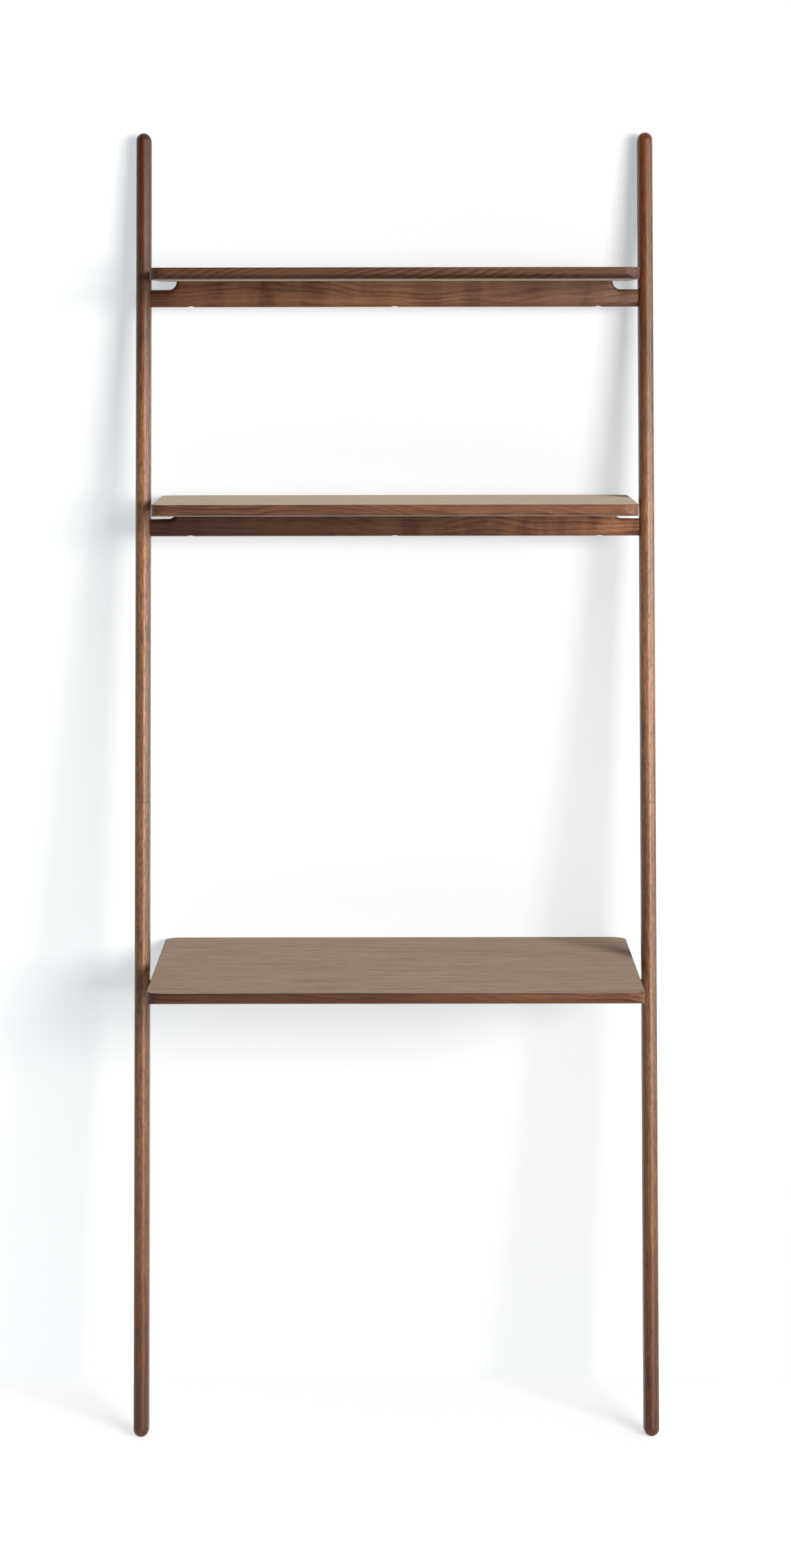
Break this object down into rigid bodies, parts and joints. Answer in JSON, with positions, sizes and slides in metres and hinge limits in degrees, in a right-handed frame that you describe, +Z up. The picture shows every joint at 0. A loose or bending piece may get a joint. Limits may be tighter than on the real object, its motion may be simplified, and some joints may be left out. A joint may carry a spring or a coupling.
{
  "type": "ladder desk",
  "caption": "Leaning ladder desk in walnut: poles rest on floor and wall and carry notched crossbars, with a deep work top below and shallower shelves above.",
  "frame": {"origin": "on the floor, midway between the poles and midway between the desk's front edge and the wall", "axes": "+X along the boards to the right as seen from the front, +Y towards the wall, +Z up"},
  "size_m": [0.839, 0.5, 2.078],
  "materials": {
    "walnut_pole": "satin lacquer, grain along the pole",
    "walnut_bar": "satin lacquer, grain along the bar",
    "walnut_board": "satin lacquer, grain along the board",
    "dark_steel": "black oxide",
    "zinc_steel": "zinc plated",
    "insert_brass": "turned brass",
    "pad_rubber": "matt rubber"
  },
  "bodies": {
    "root": {"pole_lower_left": "walnut_pole", "pole_upper_left": "walnut_pole", "pole_tongue_left": "zinc_steel", "tongue_screws_left": "dark_steel", "foot_pad_left": "pad_rubber", "wall_bumper_left": "pad_rubber", "pole_lower_right": "walnut_pole", "pole_upper_right": "walnut_pole", "pole_tongue_right": "zinc_steel", "tongue_screws_right": "dark_steel", "foot_pad_right": "pad_rubber", "wall_bumper_right": "pad_rubber", "crossbar_desk": "walnut_bar", "crossbar_bolts_desk": "dark_steel", "barrel_nuts_desk": "zinc_steel", "desk_top": "walnut_board", "board_inserts_desk": "insert_brass", "board_screws_desk": "dark_steel", "bracket_screws_desk": "zinc_steel", "wall_bracket_desk_left": "zinc_steel", "wall_bracket_desk_right": "zinc_steel", "crossbar_middle": "walnut_bar", "crossbar_bolts_middle": "dark_steel", "barrel_nuts_middle": "zinc_steel", "shelf_middle": "walnut_board", "board_inserts_middle": "insert_brass", "board_screws_middle": "dark_steel", "bracket_screws_middle": "zinc_steel", "wall_bracket_middle_left": "zinc_steel", "wall_bracket_middle_right": "zinc_steel", "crossbar_top": "walnut_bar", "crossbar_bolts_top": "dark_steel", "barrel_nuts_top": "zinc_steel", "shelf_top": "walnut_board", "board_inserts_top": "insert_brass", "board_screws_top": "dark_steel", "bracket_screws_top": "zinc_steel", "wall_bracket_top_left": "zinc_steel", "wall_bracket_top_right": "zinc_steel"}
  },
  "joints": []
}
